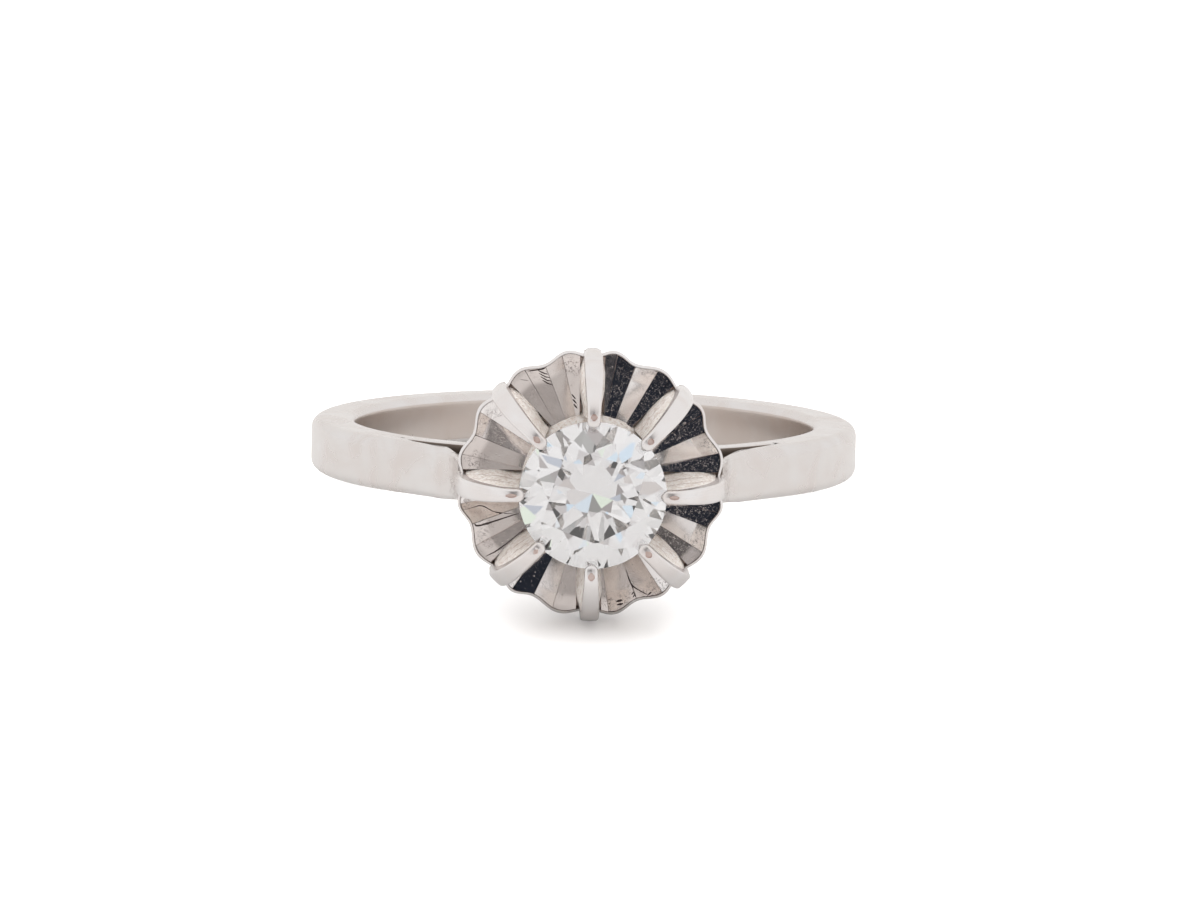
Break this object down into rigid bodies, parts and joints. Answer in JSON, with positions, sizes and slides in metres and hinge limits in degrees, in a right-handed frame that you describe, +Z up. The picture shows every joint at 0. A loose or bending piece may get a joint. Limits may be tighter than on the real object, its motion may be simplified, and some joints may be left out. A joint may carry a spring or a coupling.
{
  "type": "solitaire ring",
  "caption": "Finger ring with a round brilliant held by arched claws over a fluted, scalloped plate, on a plain band with slit shoulders.",
  "frame": {"origin": "on the surface the ring lies on, under the middle of its box", "axes": "-Y from the finger hole towards the stone, +Z up as the ring lies on its side, +X to the right as seen from the stone's side"},
  "size_m": [0.02, 0.025, 0.0096],
  "materials": {
    "white_gold": "polished",
    "diamond": "faceted and polished"
  },
  "bodies": {
    "root": {"ring_mount": "white_gold", "diamond": "diamond"}
  },
  "joints": []
}
